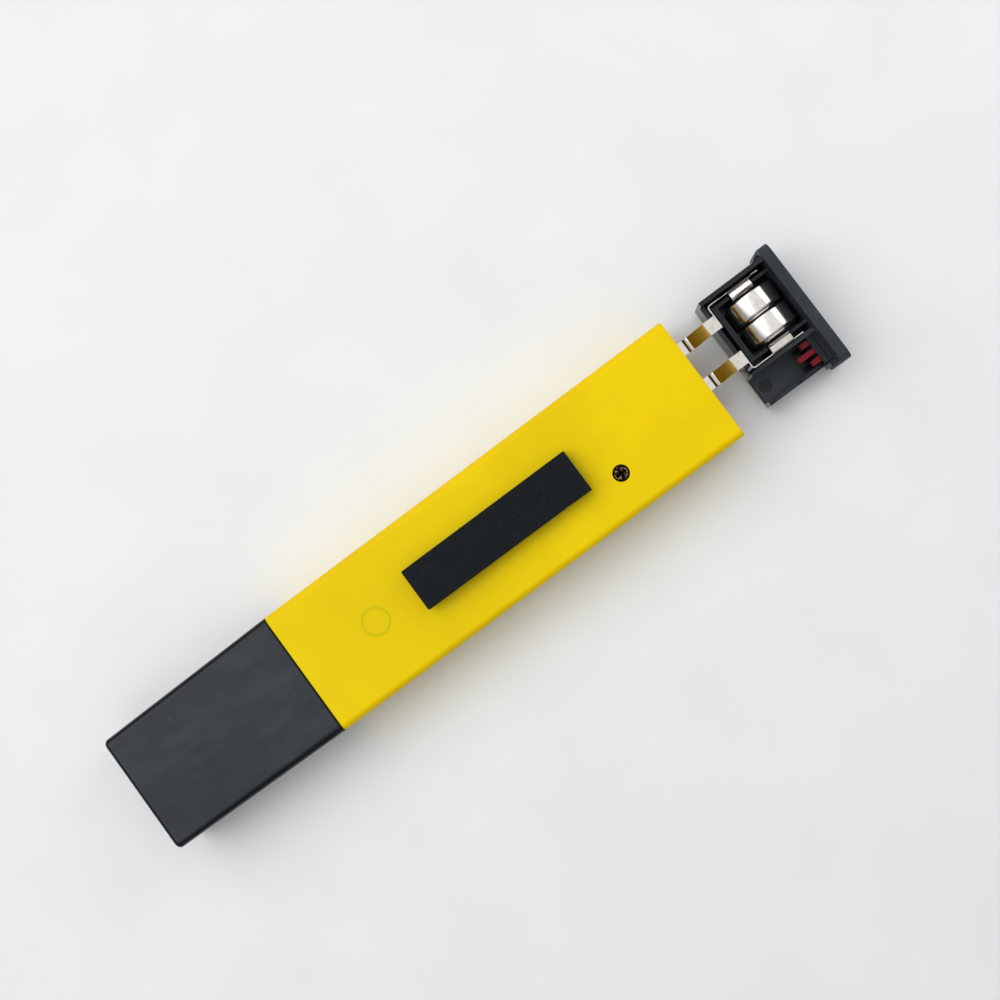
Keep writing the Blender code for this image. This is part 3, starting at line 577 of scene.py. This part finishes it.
def mark_convex_edges(mesh):
    """Stores how sharply each point's faces turn outwards, for the colours that differ on edges: wear,
    painted shade and painted highlights.
    """
    bm = bmesh.new()
    bm.from_mesh(mesh)
    full_turn = radians(40)
    values = []
    for vert in bm.verts:
        turns = [edge.calc_face_angle_signed(0) for edge in vert.link_edges]
        values.append(max(0.0, min(1.0, max(turns, default=0) / full_turn)))
    bm.free()
    attribute = mesh.attributes.new("edge_convexity", "FLOAT", "POINT")
    attribute.data.foreach_set("value", values)


def round_edges(thing, width_mm, segments=3, wide=None):
    """Bevels the sharp edges. wide is (test of an edge's middle, width), for the edges that are rounder."""
    bm = bmesh.new()
    bm.from_mesh(thing.data)
    sharp = radians(32)
    widest = wide[1] if wide else width_mm
    weights = bm.edges.layers.float.new("bevel_weight_edge")
    for edge in bm.edges:
        if edge.is_manifold and edge.calc_face_angle(0) > sharp:
            at = (edge.verts[0].co + edge.verts[1].co) / 2 / MM
            edge[weights] = 1.0 if wide and wide[0](at) else width_mm / widest
    bm.to_mesh(thing.data)
    bm.free()
    modifier = thing.modifiers.new("Bevel", "BEVEL")
    modifier.width = widest * MM
    modifier.segments = segments
    modifier.limit_method = "WEIGHT"
    applied(thing)


def dress(thing, node, slot=None, replaces=True, weighted=True):
    """Shades a piece, gives it its finish and lets it ride with the node that it stands for."""
    slot = slot or SLOT_OF[node]
    mark_convex_edges(thing.data)
    thing.data.shade_smooth()
    thing.data.set_sharp_from_angle(angle=radians(38))
    if weighted:
        modifier = thing.modifiers.new("Weighted", "WEIGHTED_NORMAL")
        modifier.keep_sharp = True
        applied(thing)
    thing.data.materials.clear()
    thing.data.materials.append(LOOKS[slot])
    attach(thing, BODY_OF[node])
    if replaces:
        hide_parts(node)
    return thing


def from_frame(node, bevel_mm=0.1, wide=None, segments=3):
    """A fine copy of a CAD node: flat faces merged and edges rounded."""
    bm = bmesh.new()
    bm.from_mesh(NODES[node].data)
    bmesh.ops.scale(bm, vec=(1 / MM,) * 3, verts=bm.verts)
    bmesh.ops.remove_doubles(bm, verts=bm.verts, dist=0.002)
    bmesh.ops.dissolve_limit(bm, angle_limit=radians(0.6), verts=bm.verts, edges=bm.edges)
    thing = new_object(node + "_fine", bm)
    if bevel_mm:
        round_edges(thing, bevel_mm, segments, wide)
    return dress(thing, node)


# ---------------------------------------------------------------- casing
CASE_X, CASE_Y, BACK_Z = span("back_shell")
MID_Z = BACK_Z[1] / 2
SEAM_HALF = 0.03             # half the hairline between the casing's halves
PCB_SCREWS = ("pcb_screw_1", "pcb_screw_2")
LUG_ROOM_Z = (4.1, 11.9)     # notches in the side walls for the drawer's lugs
LUG_ROOM_DEPTH = 2.6
RING_PROUD = 0.45            # how far the neck's O-ring stands out of it


def casing_half(node, keep_z, openings, posts=()):
    """Half of the casing: rounded tube with a neck wall, cut open inside and at the drawer's end."""
    half_y, half_z = CASE_Y[1], MID_Z
    tube = new_object(node + "_fine", loft([(x, half_y, half_z, EDGE) for x in CASE_X], MID_Z))
    inside_y = half_y - WALL_SIDE
    _, (_, ring_y), (_, ring_top) = span("neck_o_ring")
    neck_y, neck_z = ring_y - RING_PROUD + GAP, ring_top - RING_PROUD - MID_Z + GAP
    hollow = loft([(CASE_X[0] + WALL_NECK, inside_y, half_z - WALL_FACE, 0.5),
                   (CASE_X[1] + 1, inside_y, half_z - WALL_FACE, 0.5)], MID_Z)
    neck_hole = loft([(x, neck_y, neck_z, 2.0) for x in (CASE_X[0] - 1, CASE_X[0] + 2 * WALL_NECK)], MID_Z)
    far = half_y + 2
    waste_z = (-1, keep_z[0]) if keep_z[0] > 0 else (keep_z[1], BACK_Z[1] + 1)
    waste = block((CASE_X[0] - 1, CASE_X[1] + 1), (-far, far), waste_z)
    notches = [block((CASE_X[1] - LUG_ROOM_DEPTH, CASE_X[1] + 1), sorted((side * (inside_y - 1), side * far)),
                     LUG_ROOM_Z) for side in (-1, 1)]
    boolean(tube, "DIFFERENCE", [hollow, neck_hole, waste, *notches, *openings])
    if posts:
        boolean(tube, "UNION", posts)
    round_edges(tube, 0.12)
    return dress(tube, node)


def make_casing():
    """Back half, holed for the trimmer and slotted for the clip; front half with window and screw posts."""
    through_back = (BACK_Z[1] - 3, BACK_Z[1] + 1)
    x, y, _ = middle("trimmer_rotor")
    hole = rod((x, y, through_back[0]), "Z", 4, 1.85)
    root = HINGES["clip_flex"][0]
    slot = plate((root - 1.7, root + 1.7), (-4.4, 4.4), through_back, 0.3)
    casing_half("back_shell", (MID_Z + SEAM_HALF, BACK_Z[1]), [hole, slot])

    window_x, window_y, _ = span("window_lens")
    label_x, label_y, label_z = span("front_label")
    window = plate(widened(window_x, GAP), widened(window_y, GAP), (-1, 3), 1.0)
    seat = plate(widened(label_x, GAP), widened(label_y, GAP), (-1, label_z[1] + GAP), 2.0)
    board_low, rooted = span("main_pcb")[2][0], 0.4
    root_z, height = WALL_FACE - rooted, board_low - GAP - WALL_FACE + rooted
    posts = [rod((*middle(screw)[:2], root_z), "Z", height, 1.75, 32) for screw in PCB_SCREWS]
    casing_half("front_shell", (0, MID_Z - SEAM_HALF), [window, seat], posts)


def make_mould_ring():
    """Small raised ring moulded into the back near the cap."""
    ring_x, radius = CASE_X[0] + 19, 3.0
    section = ((-0.1, 0.22), (0.054, 0.22), (0.09, 0.11))      # height above the back, half width
    profile = [(height, radius - half) for height, half in section]
    profile += [(height, radius + half) for height, half in reversed(section)]
    ring = new_object("back_mould_ring", turned(profile, (ring_x, 0, BACK_Z[1]), "Z", 72, closed=True))
    dress(ring, "back_shell", replaces=False)


# ---------------------------------------------------------------- cap and clip
def make_cap():
    """Hollow cap, a little wider and thicker at its mouth than at its closed end."""
    (end, mouth), (_, half_y), (_, top) = span("protective_cap")
    half_z = top / 2
    end_y, end_z, wall, end_radius = 28.3 / 2, 15.2 / 2, 1.5, 1.0
    outer = rounded_end(end, end_y, end_z, EDGE, end_radius, -1)[::-1] + [(mouth, half_y, half_z, EDGE)]
    hollow = [(end + wall, end_y - wall, end_z - wall, 0.8), (mouth + 1, half_y - wall, half_z - wall, 0.8)]
    cap = new_object("protective_cap_fine", loft(outer, half_z))
    boolean(cap, "DIFFERENCE", [loft(hollow, half_z)])
    round_edges(cap, 0.1)
    dress(cap, "protective_cap")


# ---------------------------------------------------------------- cells
def make_cell(node):
    """Button cell: deep can with a crimped rim, a dark gasket ring and the domed cap inside it."""
    x, _, z = middle(node)
    (inner, outer), (low, high) = span(node)[1:]
    radius, height = (high - low) / 2, outer - inner
    base, crimp = (x, outer, z), height - 0.45
    groove = 0.07                # depth of the ring pressed into the base
    can = [(0, 0), (0, radius - 2.4), (-groove, radius - 2.25), (-groove, radius - 2.1), (0, radius - 1.95),
           (0, radius - 0.4)]
    can += [(-a, r) for a, r in arc(0.4, radius - 0.4, 0.4, 180, 90)]
    can += [(-a, r) for a, r in arc(crimp - 0.55, radius - 0.55, 0.55, 90, 0)]
    can += [(-crimp, radius - 0.75), (-crimp + 0.25, radius - 0.8), (-crimp + 0.25, 0)]
    gasket = [(-crimp + 0.3, radius - 1.3), (-crimp - 0.06, radius - 1.25), (-crimp - 0.06, radius - 0.85),
              (-crimp + 0.3, radius - 0.82)]
    top = [(-crimp + 0.2, 0), (-crimp + 0.2, radius - 1.32)]
    top += [(-a, r) for a, r in arc(height - 0.3, radius - 1.65, 0.3, 90, 0)]
    top += [(-height, 0)]
    dress(new_object(node + "_can", turned(can, base, "Y", 96)), node, weighted=False)
    dress(new_object(node + "_gasket", turned(gasket, base, "Y", 96, closed=True)), node, "rubber_black",
          replaces=False, weighted=False)
    dress(new_object(node + "_lid", turned(top, base, "Y", 96)), node, replaces=False, weighted=False)


# ---------------------------------------------------------------- electrode
def make_bulb():
    """Thin glass bulb that narrows into the stem, open towards the stem."""
    (tip, _), (_, radius), _ = span("glass_bulb")
    wall = 0.35
    outer = arc(radius, 0, radius, 180, 45, 28)
    inner = arc(radius, 0, radius - wall, 45, 180, 28)
    outer[0], inner[-1] = (0, 0), (wall, 0)
    centre = (tip, 0, middle("glass_bulb")[2])
    dress(new_object("glass_bulb_fine", turned(outer + inner, centre, "X", 64)), "glass_bulb", weighted=False)


def make_stem():
    """Tube with both rims slightly rounded."""
    (start, end), (_, radius), _ = span("electrode_stem")
    wall, lip = 0.9, 0.15
    length = end - start
    profile = [(0, radius - wall), (0, radius - lip), (lip, radius), (length - lip, radius),
               (length, radius - lip), (length, radius - wall)]
    centre = (start, 0, middle("electrode_stem")[2])
    dress(new_object("electrode_stem_fine", turned(profile, centre, "X", 64, closed=True)), "electrode_stem",
          weighted=False)


# ---------------------------------------------------------------- screws
def make_screw(node):
    """Pan-head screw with a cross recess and a threaded shank."""
    x, y, _ = middle(node)
    low, high = span(node)[2]
    head_height, radius, pitch = 1.1, 0.9, 0.5
    shank, length = high - head_height - low, high - low
    profile = [(0, 0)]
    for turn in range(int(shank / pitch)):
        at = turn * pitch
        profile += [(at + 0.05, radius - 0.15), (at + pitch / 2, radius)]
    profile += [(shank, radius - 0.1), (shank, 1.6), (shank + 0.12, 1.7), (shank + 0.6, 1.65)]
    profile += [(shank + 0.95, 1.3), (length, 0.8), (length, 0)]
    screw = new_object(node + "_fine", turned(profile, (x, y, low), "Z", 40))
    slots = [block((x - a, x + a), (y - b, y + b), (high - 0.6, high + 1))
             for a, b in ((1.0, 0.18), (0.18, 1.0))]
    boolean(screw, "DIFFERENCE", slots)
    dress(screw, node)


# ---------------------------------------------------------------- stage
def make_floor():
    """Plain pale floor, just under the object."""
    half, height = 1500, -0.1
    corners = ((-half, -half), (half, -half), (half, half), (-half, half))
    bm = bmesh.new()
    bm.faces.new([bm.verts.new((*corner, height)) for corner in corners])
    floor = new_object("floor", bm)
    look = Look("floor", 0.6)
    look.colour(look.drift(30, (0.8, 0.805, 0.81), (0.83, 0.835, 0.84), 0.3))
    look.bump(look.noise(2.2, 3), 0.03)
    floor.data.materials.append(look.material)


def area_light(name, place, size, power):
    """Soft box aimed at the middle of the object."""
    light = bpy.data.lights.new(name, "AREA")
    light.shape = "RECTANGLE"
    light.size, light.size_y = size
    light.energy = power
    thing = bpy.data.objects.new(name, light)
    thing.location = place
    thing.rotation_euler = (-Vector(place)).to_track_quat("-Z", "Y").to_euler()
    bpy.context.scene.collection.objects.link(thing)


def make_lights():
    """Soft boxes beyond the cap and overhead, a small fill low by the drawer, and a dim pale world."""
    world = bpy.data.worlds.new("studio")
    world.use_nodes = True
    background = world.node_tree.nodes["Background"]
    background.inputs["Color"].default_value = (0.94, 0.97, 1.0, 1)
    background.inputs["Strength"].default_value = 0.32
    bpy.context.scene.world = world
    area_light("key", (-0.3, 0.42, 0.72), (1.0, 0.8), 4.1)
    area_light("fill", (0.4, 0.08, 0.25), (0.2, 0.2), 0.3)
    area_light("top", (-0.1, 0.15, 1.0), (2.2, 2.0), 7.8)


def make_camera():
    """Nearly straight down on the back, turned so that the cap end is at the lower left."""
    data = bpy.data.cameras.new("camera")
    data.sensor_width = 36
    data.lens = 48.71
    camera = bpy.data.objects.new("camera", data)
    camera.location = (0.02822, -0.01186, 0.29919)
    camera.rotation_euler = (0.0121, 0.0823, -0.6383)
    bpy.context.scene.collection.objects.link(camera)
    bpy.context.scene.camera = camera


make_camera()
make_casing()
make_mould_ring()
make_cap()
for cell in ("button_cell_1", "button_cell_2"):
    make_cell(cell)
make_bulb()
make_stem()
for screw_node in PCB_SCREWS:
    make_screw(screw_node)

FLANGE_FACE = span("battery_tray")[0][1]
from_frame("battery_tray", 0.1, (lambda at: at.x > FLANGE_FACE - 0.1, 0.6))
for node_name in ("contact_positive", "contact_negative", "trimmer_rotor"):
    from_frame(node_name, 0.04, segments=2)
from_frame("pocket_clip", 0.28)
from_frame("power_button", 0.1)
for node_name in ("controller_blob", "signal_lead", "reference_lead", "reference_wire"):
    from_frame(node_name, 0)
for node_name in ("front_label", "battery_pad_positive", "battery_pad_negative"):
    from_frame(node_name, 0.03, segments=2)
for node_name in ("window_lens", "main_pcb", "amplifier_chip", "trimmer_body", "power_switch_body",
                  "power_switch_plunger", "lcd_frame", "lcd_glass", "zebra_strip", "electrode_holder",
                  "reference_junction", "neck_o_ring", "electrode_seal"):
    from_frame(node_name, 0.1)

make_floor()
make_lights()
bpy.context.scene.view_settings.view_transform = "Standard"
